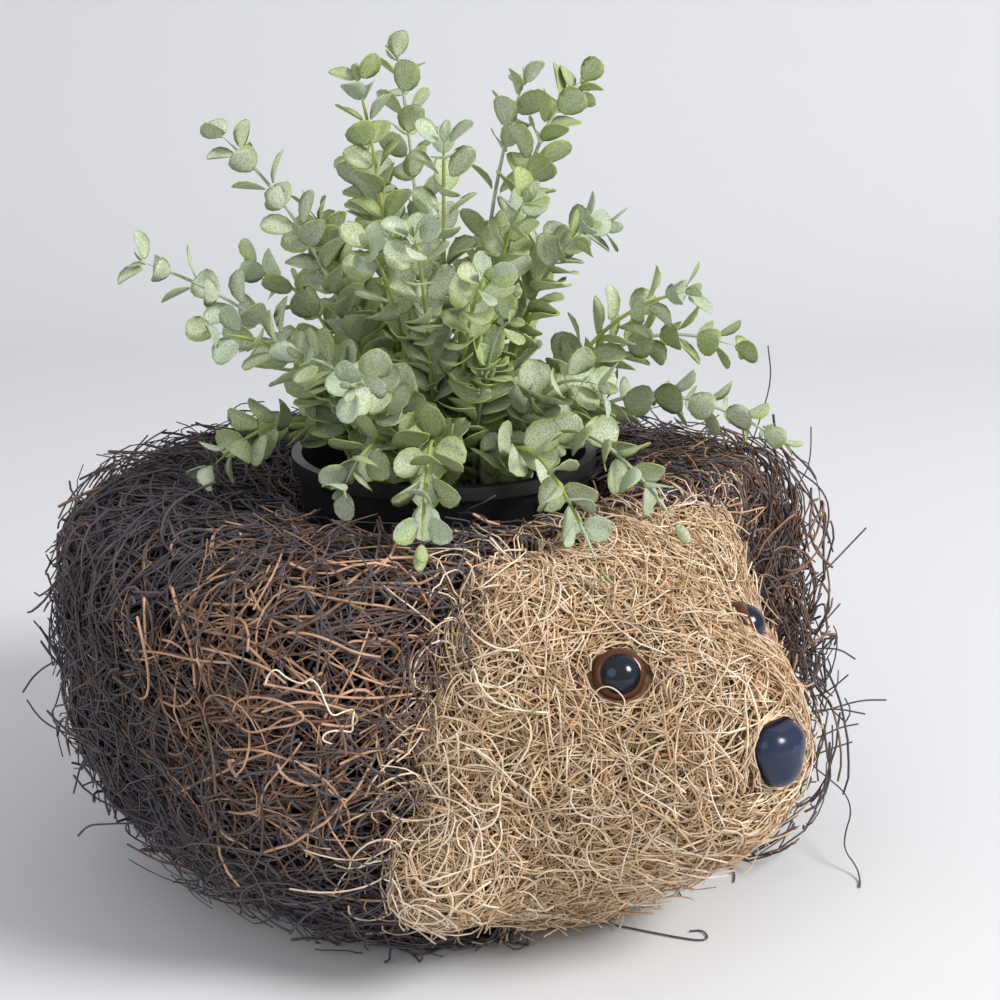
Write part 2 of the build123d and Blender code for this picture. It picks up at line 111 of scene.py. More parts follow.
# The photograph's viewpoint, its lens in millimetres and its width in picture points.
eye_point = Vector((-0.55131, -0.59495, 0.40648))
aim_line = Vector((0.68072, 0.67958, -0.27348))
eye_turn = aim_line.to_track_quat("-Z", "Y")
sensor_width = 36.0
lens_length = 63.0
picture_width = 1000.0

strands_per_piece = 2000
tip_width_share = 0.56
ring_corners = 4
thinning = 1.0


def srgb(red, green, blue):
    """A linear colour with alpha from 0 to 255 screen values."""
    shares = [value / 255.0 for value in (red, green, blue)]
    linear = [share / 12.92 if share <= 0.04045 else ((share + 0.055) / 1.055) ** 2.4 for share in shares]
    return (*linear, 1.0)


# Shader helpers.
def add_node(tree, kind, **settings):
    node = tree.nodes.new(kind)
    for name, value in settings.items():
        setattr(node, name, value)
    return node


def new_group(name, **inputs):
    """A shader node group that takes named colours and numbers and gives a colour, a roughness and a height."""
    colour, number = "NodeSocketColor", "NodeSocketFloat"
    group = bpy.data.node_groups.new(name, "ShaderNodeTree")
    for label, default in inputs.items():
        kind = colour if isinstance(default, tuple) else number
        group.interface.new_socket(label, in_out="INPUT", socket_type=kind).default_value = default
    for label, kind in (("Color", colour), ("Roughness", number), ("Height", number)):
        group.interface.new_socket(label, in_out="OUTPUT", socket_type=kind)
    entry = add_node(group, "NodeGroupInput")
    leaving = add_node(group, "NodeGroupOutput")
    return group, entry.outputs, leaving.inputs


def object_noise(tree, scale, detail=3.0, roughness=0.55):
    """A noise texture on Object coordinates: scale is a number or a socket that gives one."""
    place = add_node(tree, "ShaderNodeTexCoord")
    grain = add_node(tree, "ShaderNodeTexNoise")
    tree.links.new(place.outputs["Object"], grain.inputs["Vector"])
    if isinstance(scale, (int, float)):
        grain.inputs["Scale"].default_value = scale
    else:
        tree.links.new(scale, grain.inputs["Scale"])
    grain.inputs["Detail"].default_value = detail
    grain.inputs["Roughness"].default_value = roughness
    return grain.outputs["Fac"]


def remap(tree, value, low, high, to_low, to_high):
    """A clamped map range: the four ends are numbers or sockets."""
    node = add_node(tree, "ShaderNodeMapRange")
    tree.links.new(value, node.inputs["Value"])
    for label, end in (("From Min", low), ("From Max", high), ("To Min", to_low), ("To Max", to_high)):
        if isinstance(end, (int, float)):
            node.inputs[label].default_value = end
        else:
            tree.links.new(end, node.inputs[label])
    return node.outputs["Result"]


def blend_colours(tree, share, first, second, way="MIX"):
    """Two colours mixed by share: each is a socket or a fixed colour."""
    node = add_node(tree, "ShaderNodeMix", data_type="RGBA", blend_type=way)
    for index, value in ((0, share), (6, first), (7, second)):
        if isinstance(value, (int, float, tuple)):
            node.inputs[index].default_value = value
        else:
            tree.links.new(value, node.inputs[index])
    return node.outputs[2]


def product(tree, first, second):
    node = add_node(tree, "ShaderNodeMath", operation="MULTIPLY")
    tree.links.new(first, node.inputs[0])
    tree.links.new(second, node.inputs[1])
    return node.outputs[0]


def three_tones(tree, dark, middle, light):
    """The tone value that a mesh keeps on its points, and its colour among three."""
    tone = add_node(tree, "ShaderNodeAttribute", attribute_name="tone").outputs["Fac"]
    low = remap(tree, tone, 0.0, 0.5, 0.0, 1.0)
    high = remap(tree, tone, 0.5, 1.0, 0.0, 1.0)
    return tone, blend_colours(tree, high, blend_colours(tree, low, dark, middle), light)


def fibre_group():
    """Tones a strand from its own tone value, mottled along its length."""
    group, given, gives = new_group(
        "fibre_tint", Dark=(0, 0, 0, 1), Middle=(0.2, 0.2, 0.2, 1), Light=(1, 1, 1, 1), Mottle=200.0)
    _, body = three_tones(group, given["Dark"], given["Middle"], given["Light"])
    mottle = object_noise(group, given["Mottle"])
    shade = remap(group, mottle, 0.3, 0.7, 0.72, 1.18)
    group.links.new(blend_colours(group, 1.0, body, shade, "MULTIPLY"), gives["Color"])
    group.links.new(remap(group, mottle, 0.3, 0.7, 0.5, 0.78), gives["Roughness"])
    group.links.new(object_noise(group, 1800.0), gives["Height"])
    return group


def frosting_group():
    """A powdery bloom in fine specks and soft clouds over a leaf or stem colour."""
    group, given, gives = new_group(
        "frosting", Base=(0.2, 0.3, 0.1, 1), Frost=(0.7, 0.75, 0.7, 1), Amount=0.5)
    specks = object_noise(group, 1500.0, 2.0, 0.7)
    clouds = object_noise(group, 90.0, 3.0, 0.6)
    fine = remap(group, specks, 0.32, 0.58, 0.0, 1.0)
    soft = remap(group, clouds, 0.3, 0.7, 0.55, 1.0)
    share = product(group, product(group, fine, soft), given["Amount"])
    group.links.new(blend_colours(group, share, given["Base"], given["Frost"]), gives["Color"])
    group.links.new(remap(group, fine, 0.0, 1.0, 0.55, 0.9), gives["Roughness"])
    group.links.new(specks, gives["Height"])
    return group


def moulding_group():
    """Moulded plastic, wire or foam: faint flow marks, a little dust and a fine skin."""
    group, given, gives = new_group(
        "moulded_skin", Base=(0.1, 0.1, 0.1, 1), Dust=(0.5, 0.48, 0.45, 1), Dustiness=0.05,
        Smooth=0.2, Rough=0.4)
    flow = object_noise(group, 45.0, 3.0)
    motes = object_noise(group, 900.0, 2.0, 0.7)
    dust = product(group, remap(group, motes, 0.55, 0.75, 0.0, 1.0), given["Dustiness"])
    shade = remap(group, flow, 0.3, 0.7, 0.82, 1.12)
    toned = blend_colours(group, 1.0, given["Base"], shade, "MULTIPLY")
    group.links.new(blend_colours(group, dust, toned, given["Dust"]), gives["Color"])
    group.links.new(remap(group, flow, 0.25, 0.75, given["Smooth"], given["Rough"]), gives["Roughness"])
    group.links.new(motes, gives["Height"])
    return group


fibre_tint = fibre_group()
frosting = frosting_group()
moulded_skin = moulding_group()


def finish_material(name, group, values, bump, bump_depth, **shader):
    """A material whose colour, roughness and bump come from one shared group."""
    material = bpy.data.materials.new(name)
    material.use_nodes = True
    tree = material.node_tree
    surface = tree.nodes["Principled BSDF"]
    effect = add_node(tree, "ShaderNodeGroup", node_tree=group)
    for label, value in values.items():
        effect.inputs[label].default_value = value
    relief = add_node(tree, "ShaderNodeBump")
    relief.inputs["Strength"].default_value = bump
    relief.inputs["Distance"].default_value = bump_depth
    tree.links.new(effect.outputs["Color"], surface.inputs["Base Color"])
    tree.links.new(effect.outputs["Roughness"], surface.inputs["Roughness"])
    tree.links.new(effect.outputs["Height"], relief.inputs["Height"])
    tree.links.new(relief.outputs["Normal"], surface.inputs["Normal"])
    for label, value in shader.items():
        surface.inputs[label.replace("_", " ")].default_value = value
    return material


def leaf_material():
    """A frosted leaf: its own tone, a pale midrib, a yellow-green rim and more bloom along the middle."""
    values = {"Frost": srgb(234, 238, 228), "Amount": 0.8}
    material = finish_material("frosted_leaf", frosting, values, 0.35, 0.0004, Specular_IOR_Level=0.3)
    tree = material.node_tree
    effect = next(node for node in tree.nodes if node.type == "GROUP")
    tone, body = three_tones(tree, srgb(130, 152, 40), srgb(132, 152, 66), srgb(140, 160, 104))
    flat = add_node(tree, "ShaderNodeUVMap", uv_map="leaf_plan")
    parts = add_node(tree, "ShaderNodeSeparateXYZ")
    tree.links.new(flat.outputs["UV"], parts.inputs["Vector"])
    off_centre = add_node(tree, "ShaderNodeMath", operation="SUBTRACT")
    tree.links.new(parts.outputs["Y"], off_centre.inputs[0])
    off_centre.inputs[1].default_value = 0.5
    spread = add_node(tree, "ShaderNodeMath", operation="ABSOLUTE")
    tree.links.new(off_centre.outputs[0], spread.inputs[0])
    rib = remap(tree, spread.outputs[0], 0.0, 0.045, 0.45, 0.0)
    body = blend_colours(tree, rib, body, srgb(190, 200, 146))
    rim = remap(tree, spread.outputs[0], 0.4, 0.5, 0.0, 0.6)
    body = blend_colours(tree, rim, body, srgb(164, 170, 78))
    tree.links.new(body, effect.inputs["Base"])
    middle = remap(tree, spread.outputs[0], 0.3, 0.5, 1.0, 0.35)
    bloom = product(tree, remap(tree, tone, 0.0, 1.0, 0.45, 1.0), middle)
    tree.links.new(bloom, effect.inputs["Amount"])
    return material


def fibre_finish(name, colours, mottle, bump, bump_depth, gloss):
    """Fibre in three tones, from the darkest to the lightest."""
    values = {label: srgb(*colour) for label, colour in zip(("Dark", "Middle", "Light"), colours)}
    values["Mottle"] = mottle
    return finish_material(name, fibre_tint, values, bump, bump_depth, Specular_IOR_Level=gloss)


def moulded_finish(name, base, dust, dustiness, smooth, rough, bump, bump_depth=0.0002, **shader):
    """Plastic, wire or foam of one colour, with its dust and the ends of its roughness."""
    values = {"Base": srgb(*base), "Dust": srgb(*dust), "Dustiness": dustiness}
    values.update({"Smooth": smooth, "Rough": rough})
    return finish_material(name, moulded_skin, values, bump, bump_depth, **shader)


dark_fibre = fibre_finish("dark_fibre", [(74, 72, 80), (126, 96, 78), (218, 174, 140)], 160.0, 0.3, 0.0003, 0.5)
pale_fibre = fibre_finish(
    "pale_fibre", [(162, 128, 92), (211, 180, 144), (250, 234, 210)], 180.0, 0.3, 0.0003, 0.3)
# The mats' tones sit below the loose strands' own: partly the fibre's colour, partly painted shade of the depths
# between the strands.
dark_mat_painted_shade = fibre_finish("dark_mat_painted_shade", [(20, 20, 23), (29, 27, 30), (46, 40, 39)], 220.0, 0.9, 0.003, 0.1)
pale_mat_painted_shade = fibre_finish("pale_mat_painted_shade", [(104, 78, 54), (140, 110, 82), (176, 146, 114)], 260.0, 0.9, 0.003, 0.1)
frosted_leaf = leaf_material()
stem_values = {"Base": srgb(140, 158, 118), "Frost": srgb(212, 220, 204), "Amount": 0.75}
frosted_stem = finish_material("frosted_stem", frosting, stem_values, 0.3, 0.0003, Specular_IOR_Level=0.3)
brown_iris = moulded_finish(
    "brown_iris", (86, 52, 34), (170, 130, 100), 0.03, 0.08, 0.18, 0.05, Specular_IOR_Level=0.3)
# The pupil's and the nose's bases are dark plastic tinted blue: the blue is partly painted reflection of a cool
# sky.
black_gloss = moulded_finish("black_gloss", (12, 20, 36), (120, 120, 125), 0.01, 0.12, 0.18, 0.02)
nose_gloss = moulded_finish("nose_gloss", (25, 38, 66), (130, 132, 138), 0.02, 0.18, 0.28, 0.03)
pot_plastic = moulded_finish("pot_plastic", (22, 23, 27), (110, 108, 104), 0.12, 0.32, 0.48, 0.12)
washer_plastic = moulded_finish("washer_plastic", (196, 196, 192), (150, 140, 125), 0.15, 0.35, 0.55, 0.1)
frame_wire = moulded_finish("frame_wire", (70, 66, 62), (110, 70, 45), 0.4, 0.35, 0.6, 0.2, Metallic=0.8)
plug_foam = moulded_finish("plug_foam", (58, 62, 40), (96, 92, 62), 0.6, 0.8, 0.95, 0.8, 0.0015)


# Pieces.
def show(name, mesh, body, slot, *materials):
    """An object for a finished mesh that rides on one CAD body."""
    for material in materials:
        mesh.materials.append(material)
    piece = bpy.data.objects.new(name, mesh)
    scene.collection.objects.link(piece)
    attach(piece, body)
    return piece


def smooth_mesh(name, skin):
    """A smooth mesh from a bmesh, which is then freed."""
    mesh = bpy.data.meshes.new(name)
    skin.to_mesh(mesh)
    skin.free()
    mesh.shade_smooth()
    return mesh


def new_curve(name, roundness):
    """An empty curve, drawn as a tube whose points give its radius in millimetres."""
    curve = bpy.data.curves.new(name, "CURVE")
    curve.dimensions = "3D"
    curve.fill_mode = "FULL"
    curve.bevel_depth = MILLI
    curve.bevel_resolution = roundness
    return curve


def drawn_mesh(name, curve):
    """The mesh of a curve, which is then removed."""
    holder = bpy.data.objects.new(name, curve)
    mesh = bpy.data.meshes.new_from_object(holder)
    bpy.data.objects.remove(holder)
    bpy.data.curves.remove(curve)
    return mesh


def welded(node):
    """A welded copy of a CAD node's surface."""
    skin = bmesh.new()
    skin.from_mesh(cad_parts[node].data)
    bmesh.ops.remove_doubles(skin, verts=skin.verts[:], dist=weld_reach)
    skin.normal_update()
    return skin


def spread_over(skin, count, wanted, dice):
    """Even random places on a surface that wanted(place, normal) accepts."""
    faces = skin.faces[:]
    areas = np.array([face.calc_area() for face in faces])
    places = []
    while len(places) < count:
        picks = dice.choice(len(faces), count, p=areas / areas.sum())
        for pick, first, second in zip(picks, dice.random(count), dice.random(count)):
            if first + second > 1.0:
                first, second = 1.0 - first, 1.0 - second
            face = faces[pick]
            corner, left, right = (vert.co for vert in face.verts[:3])
            place = corner + (left - corner) * first + (right - corner) * second
            if wanted(place, face.normal):
                places.append((place, face.normal.copy()))
    return places[:count]


def walk(tree, start, heading, length, turns, heights):
    """A strand's points: it runs over a surface, turning as it goes, at the given heights above it."""
    points = []
    place = start
    step = length / (len(heights) - 1)
    for turn, height in zip(turns, heights):
        near, normal, _, _ = tree.find_nearest(place)
        points.append(near + normal * height)
        heading = heading - normal * heading.dot(normal)
        heading.normalize()
        heading.rotate(Quaternion(normal, turn))
        place = near + heading * step
    return points


sprig_names = sorted(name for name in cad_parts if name.startswith("sprig_"))
bush = bmesh.new()
for name in sprig_names:
    bush.from_mesh(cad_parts[name].data)
bush_tree = BVHTree.FromBMesh(bush)
bush.free()


def near_leaves(points):
    return any(bush_tree.find_nearest(point, leaf_clear)[0] is not None for point in points)


def clear_of_pot(point):
    """Keeps a point above the ground, within the fringe's reach and out of the pot's way up."""
    point.x = min(max(point.x, coat_low.x - fringe_reach), coat_high.x + fringe_reach)
    point.y = min(point.y, coat_high.y + fringe_reach)
    point.z = max(point.z, ground_clear)
    offset = Vector((point.x - pot_axis.x, point.y - pot_axis.y, 0.0))
    if point.z > pot_base_height - pot_foot_gap and offset.length < pot_clear_radius:
        point.xy = (pot_axis + offset.normalized() * pot_clear_radius).xy
    return point


def clear_walk(*route):
    return [clear_of_pot(point) for point in walk(*route)]


def spaced(points):
    """The points of a strand without those that lie on the one before."""
    kept = [points[0]]
    for point in points[1:]:
        if (point - kept[-1]).length > least_step:
            kept.append(point)
    return kept if len(kept) > 1 else [points[0], points[0] + Vector((0.0, 0.0, MILLI))]


def strand_mesh(name, strands):
    """One mesh of blunt strands, (points, radius, tone) each, with the tone kept on its points."""
    curve = new_curve(name, 0)
    tones = []
    for points, radius, tone in strands:
        points = spaced(points)
        first = points[0] + (points[0] - points[1]).normalized() * (radius * MILLI)
        last = points[-1] + (points[-1] - points[-2]).normalized() * (radius * MILLI)
        whole = [first, *points, last]
        spline = curve.splines.new("POLY")
        spline.points.add(len(whole) - 1)
        spline.points.foreach_set("co", [value for point in whole for value in (*point, 1.0)])
        spline.points.foreach_set("radius", [0.0, *([radius] * len(points)), 0.0])
        tones.append(np.full(len(whole) * ring_corners, tone, dtype=np.float32))
    mesh = drawn_mesh(name, curve)
    mesh.attributes.new("tone", "FLOAT", "POINT").data.foreach_set("value", np.concatenate(tones))
    tips = bmesh.new()
    tips.from_mesh(mesh)
    bmesh.ops.remove_doubles(tips, verts=tips.verts[:], dist=tip_weld_reach)
    tips.to_mesh(mesh)
    tips.free()
    mesh.shade_smooth()
    return mesh


def show_strands(name, strands, body, slot, material):
    """Strands in pieces of a size that exports well."""
    for start in range(0, len(strands), strands_per_piece):
        label = f"{name}_{start // strands_per_piece + 1:02d}"
        show(label, strand_mesh(label, strands[start:start + strands_per_piece]), body, slot, material)


def felted(node, grain):
    """A solid's own form, remade as an even skin of small faces."""
    skin = welded(node)
    blank = bpy.data.meshes.new(node)
    skin.to_mesh(blank)
    skin.free()
    holder = bpy.data.objects.new(node, blank)
    scene.collection.objects.link(holder)
    remesh = holder.modifiers.new("felt", "REMESH")
    remesh.mode = "VOXEL"
    remesh.voxel_size = grain
    ready = holder.evaluated_get(bpy.context.evaluated_depsgraph_get())
    mesh = bpy.data.meshes.new_from_object(ready)
    bpy.data.objects.remove(holder)
    bpy.data.meshes.remove(blank)
    form = bmesh.new()
    form.from_mesh(mesh)
    bpy.data.meshes.remove(mesh)
    bmesh.ops.triangulate(form, faces=form.faces[:])
    form.normal_update()
    return form


def mat_mesh(name, form, sink, lump):
    """The packed fibre under the loose strands: a felted form, a little smaller outside, and lumpy."""
    tree = BVHTree.FromBMesh(form)
    felt = form.copy()
    tone = felt.verts.layers.float.new("tone")
    moved = []
    for vert in felt.verts:
        inner = tree.ray_cast(vert.co + vert.normal * hollow_probe, vert.normal)[0] is not None
        gap = button_tree.find_nearest(vert.co, seat_reach)[3]
        ease = 1.0 if gap is None else gap / seat_reach
        depth = 0.0 if inner else sink
        bump = noise.noise(vert.co * 60.0) * lump + noise.noise(vert.co * 190.0) * lump * 0.5
        moved.append(vert.co - vert.normal * (ease * (depth + (abs(bump) if inner else bump))))
        vert[tone] = 0.5 + 0.5 * noise.noise(vert.co * 120.0)
    for vert, place in zip(felt.verts, moved):
        vert.co = clear_of_pot(place)
    return smooth_mesh(name, felt)


def show_mat(name, form, sink, lump, slot, material, node):
    """The mat in place of its solid: its sink and lumps are millimetres."""
    mesh = mat_mesh(name, form, sink * MILLI, lump * MILLI)
    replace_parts(show(name, mesh, "hedgehog", slot, material), node)


def random_heading(normal, dice):
    """A direction along the surface: mostly level, leaning up or down at random."""
    level = Vector((0.0, 0.0, 1.0)).cross(normal)
    if level.length < 0.05:
        level = Vector((1.0, 0.0, 0.0)).cross(normal)
    level.normalize()
    level.rotate(Quaternion(normal, dice.normal(0.0, dice.choice([0.22, 0.4, 0.9]))))
    return level if dice.random() < 0.5 else -level


def easy_turns(length, bend, wobble, dice):
    """Turns at each point of a strand, in radians: a steady bend in radians a millimetre, with a slow wobble.

    A strand that turns more has more points, so that it stays smooth.
    """
    reach = length / MILLI
    count = int(min(max(4 + abs(bend) * reach * 2.4 + wobble * reach * 1.6, 5), 12))
    run = np.linspace(0.0, 1.0, count)
    swing = wobble * np.sin(dice.uniform(0.0, 6.3) + run * dice.uniform(3.0, 9.0))
    return (bend + swing) * reach / (count - 1)


def loose_turns(lengths, bends, wobble, dice):
    """Length and turns of a strand that bends one way or the other, between the given millimetres and bends."""
    length = dice.uniform(*lengths) * MILLI
    bend = dice.choice([-1.0, 1.0]) * dice.uniform(*bends)
    return length, easy_turns(length, bend, wobble, dice)


def any_way(dice):
    return Vector(dice.normal(0.0, 1.0, 3))


def eased(points):
    """A smooth route near a few points: its corners are cut twice."""
    for _ in range(2):
        cut = [points[0]]
        for here, there in zip(points, points[1:]):
            cut += [here.lerp(there, 0.25), here.lerp(there, 0.75)]
        points = [*cut, points[-1]]
    return points


def sight_line(pixel):
    """The direction from the photograph's viewpoint through one of its points."""
    across, down = ((value / picture_width - 0.5) * sensor_width / lens_length for value in pixel)
    return (eye_turn @ Vector((across, -down, -1.0))).normalized()


def facing_route(pixels, start, finish):
    """Points seen at these places of the photograph, as far away as the start and then the finish are."""
    depths = [(Vector(place) * MILLI - eye_point).dot(aim_line) for place in (start, finish)]
    points = []
    for pixel, depth in zip(pixels, np.linspace(*depths, len(pixels))):
        line = sight_line(pixel)
        points.append(clear_of_pot(eye_point + line * (depth / line.dot(aim_line))))
    return points


def floor_route(pixels):
    """Points on the floor that are seen at these places of the photograph."""
    lines = [sight_line(pixel) for pixel in pixels]
    return [eye_point + line * ((ground_clear - eye_point.z) / line.z) for line in lines]


def laid_route(pixels, height):
    """Points just in front of the coats, eyes and nose, seen at these places of the photograph."""
    points = []
    for pixel in pixels:
        line = sight_line(pixel)
        hits = [tree.ray_cast(eye_point, line) for tree in (animal_tree, button_tree)]
        reaches = [hit[3] for hit in hits if hit[0] is not None]
        if reaches:
            points.append(eye_point + line * (min(reaches) - height))
    return points


def loose_heights(count, low, high, weave, lift, dice):
    """Heights of a strand above its mat: it weaves in and out, and lifts at one end where lift is given."""
    run = np.linspace(0.0, 1.0, count)
    base = dice.uniform(low, high)
    heights = base + weave * np.sin(dice.uniform(0.0, 6.3) + run * dice.uniform(2.0, 7.0))
    if lift:
        heights = heights + lift * run ** 2.2
    return heights * MILLI


# Surfaces that the strands run over.
buttons = bmesh.new()
for name in ("eye_cup_left", "eye_pupil_left", "eye_cup_right", "eye_pupil_right", "nose_button"):
    buttons.from_mesh(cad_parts[name].data)
button_tree = BVHTree.FromBMesh(buttons)
buttons.free()


def touches_button(point, clear):
    """Whether a point is in an eye or the nose, or too close to one for a strand."""
    near, normal, _, gap = button_tree.find_nearest(point, button_search)
    return near is not None and (gap < clear or (point - near).dot(normal) < 0.0)


def clear_of_buttons(points, clear):
    between = [here.lerp(there, share) for here, there in zip(points, points[1:]) for share in (0.33, 0.67)]
    return not any(touches_button(point, clear) for point in (*points, *between))


def shown_skin(*forms):
    """The outer surface of some forms together, without their hollows and the seats of the eyes and nose."""
    skin = bmesh.new()
    for form in forms:
        part = bpy.data.meshes.new("part")
        form.to_mesh(part)
        skin.from_mesh(part)
        bpy.data.meshes.remove(part)
    skin.normal_update()
    tree = BVHTree.FromBMesh(skin)
    hidden = []
    for face in skin.faces:
        middle = face.calc_center_median()
        covered = tree.ray_cast(middle + face.normal * MILLI, face.normal)[0] is not None
        if covered or button_tree.find_nearest(middle, button_skin)[0] is not None:
            hidden.append(face)
    bmesh.ops.delete(skin, geom=hidden, context="FACES")
    return skin


def blend_lobes(form):
    """Works the ears and cheeks into the face, as packed fibre does, and leaves the rest of the form alone."""
    soft = []
    for vert in form.verts:
        gap = min((vert.co - spot).length for spot in lobe_spots)
        if gap < lobe_reach and vert.co.y < face_back - lobe_back_gap:
            soft.append(vert)
    for _ in range(lobe_smoothing):
        bmesh.ops.smooth_vert(form, verts=soft, factor=0.5, use_axis_x=True, use_axis_y=True, use_axis_z=True)
    form.normal_update()


coat_form = felted("body_coat", coat_grain)
coat_tree = BVHTree.FromBMesh(coat_form)
face_form = felted("face_coat", face_grain)
blend_lobes(face_form)
face_skin = shown_skin(face_form)
face_tree = BVHTree.FromBMesh(face_skin)
animal_skin = shown_skin(coat_form, face_form)
animal_tree = BVHTree.FromBMesh(animal_skin)


# Dark coat.
def in_face_plan(place, share):
    across = place.x / face_half_width
    rise = (place.z - face_centre_height) / face_half_height
    return across * across + rise * rise < share * share


def in_coat_hollow(place, normal):
    return coat_tree.ray_cast(place + normal * MILLI, normal)[0] is not None


def on_coat_outside(place, normal):
    """The walls and top that show, without the part behind the face and the hollow inside."""
    if place.z < underside_band and normal.z < -0.9:
        return False
    if place.y < face_back + face_seam and in_face_plan(place, 0.9):
        return False
    return not in_coat_hollow(place, normal)


def coat_warmth(place):
    """How brown the coat is: near black behind and below, orange brown up the sides next to the face."""
    front = 1.0 - min(max((place.y - warm_front) / warm_fade, 0.0), 1.0)
    band = 1.0 - min(max((abs(place.z - warm_height) - warm_half_band) / warm_band_fade, 0.0), 1.0)
    return front * (0.08 + 0.92 * band)


def coat_strand(place, normal, dice):
    length = dice.uniform(28.0, 96.0) * MILLI
    lift = dice.uniform(4.0, 15.0) if dice.random() < 0.24 else 0.0
    bend = dice.normal(0.0, 0.012)
    if lift or dice.random() < 0.2:
        bend = dice.choice([-1.0, 1.0]) * dice.uniform(0.02, 0.08)
        length = min(length, curled_reach)
    turns = easy_turns(length, bend, dice.uniform(0.0, 0.02), dice)
    heights = loose_heights(len(turns), -8.0, 3.5, dice.uniform(1.0, 4.0), lift, dice)
    points = clear_walk(coat_tree, place, random_heading(normal, dice), length, turns, heights)
    warm = coat_warmth(points[len(points) // 2])
    tone = 0.16 * dice.random() ** 2 + 0.05 * warm
    chance = dice.random()
    if chance < 0.26 * warm:
        tone = dice.uniform(0.65, 1.0)
    elif chance < 0.66 * warm + 0.04:
        tone = dice.uniform(0.25, 0.6)
    return points, 0.3 + 0.44 * dice.random() ** 1.4, tone


def grow(skin, count, wanted, strand, dice):
    strands = []
    for place, normal in spread_over(skin, int(count * thinning), wanted, dice):
        made = strand(place, normal, dice)
        if made and not near_leaves(made[0]):
            strands.append(made)
    return strands


coat_dice = np.random.default_rng(11)
show_mat("coat_mat", coat_form, 8.0, 2.2, "dark_fibre", dark_mat_painted_shade, "body_coat")
coat_strands = grow(coat_form, 11600, on_coat_outside, coat_strand, coat_dice)


def halo_strand(place, normal, dice):
    """A fine strand that stands off the coat, so that its outline is open."""
    length, turns = loose_turns((20.0, 55.0), (0.01, 0.07), 0.02, dice)
    heights = loose_heights(len(turns), 3.0, 12.0, 2.5, dice.uniform(0.0, 5.0), dice)
    points = clear_walk(coat_tree, place, random_heading(normal, dice), length, turns, heights)
    return points, dice.uniform(0.28, 0.46), 0.3 * dice.random() ** 2


coat_strands += grow(coat_form, 900, on_coat_outside, halo_strand, coat_dice)


def hollow_strand(place, normal, dice):
    length = dice.uniform(25.0, 60.0) * MILLI
    turns = easy_turns(length, dice.normal(0.0, 0.02), 0.01, dice)
    heights = loose_heights(len(turns), -1.0, 1.5, 1.0, 0.0, dice)
    points = clear_walk(coat_tree, place, random_heading(normal, dice), length, turns, heights)
    return points, dice.uniform(0.36, 0.6), dice.random() * 0.3


coat_strands += grow(coat_form, 1400, in_coat_hollow, hollow_strand, coat_dice)


# The coat's front corner on the side away from the camera, where the loosest tangle stands out beside the face,
# and its low part, where the tangle hangs out past the cheek: low and high millimetres along each axis.
far_corner_box = ((104.0, 200.0), (-112.0, -50.0), (-10.0, 178.0))
far_cheek_box = ((82.0, 200.0), (-136.0, -62.0), (-10.0, 112.0))


def in_box(place, box):
    return all(low * MILLI < value < high * MILLI for value, (low, high) in zip(place, box))


def at_far_corner(place, normal):
    return in_box(place, far_corner_box)


def corner_strand(place, normal, dice):
    length, turns = loose_turns((18.0, 56.0), (0.01, 0.09), 0.02, dice)
    heights = loose_heights(len(turns), 2.0, 2.0 + 26.0 * dice.random(), 3.0, dice.uniform(0.0, 8.0), dice)
    points = clear_walk(animal_tree, place, any_way(dice), length, turns, heights)
    tone = dice.uniform(0.3, 0.6) if dice.random() < 0.5 else 0.2 * dice.random()
    return points, dice.uniform(0.34, 0.7), tone


def beside_far_cheek(place, normal):
    return in_box(place, far_cheek_box)


def skirt_strand(place, normal, dice):
    length, turns = loose_turns((18.0, 50.0), (0.02, 0.09), 0.02, dice)
    heights = loose_heights(len(turns), 3.0, 36.0, 3.0, 0.0, dice)
    points = clear_walk(animal_tree, place, any_way(dice), length, turns, heights)
    tone = dice.uniform(0.3, 0.55) if dice.random() < 0.4 else 0.15 * dice.random()
    return points, dice.uniform(0.34, 0.65), tone


coat_strands += grow(animal_skin, 900, at_far_corner, corner_strand, coat_dice)
coat_strands += grow(animal_skin, 420, beside_far_cheek, skirt_strand, coat_dice)

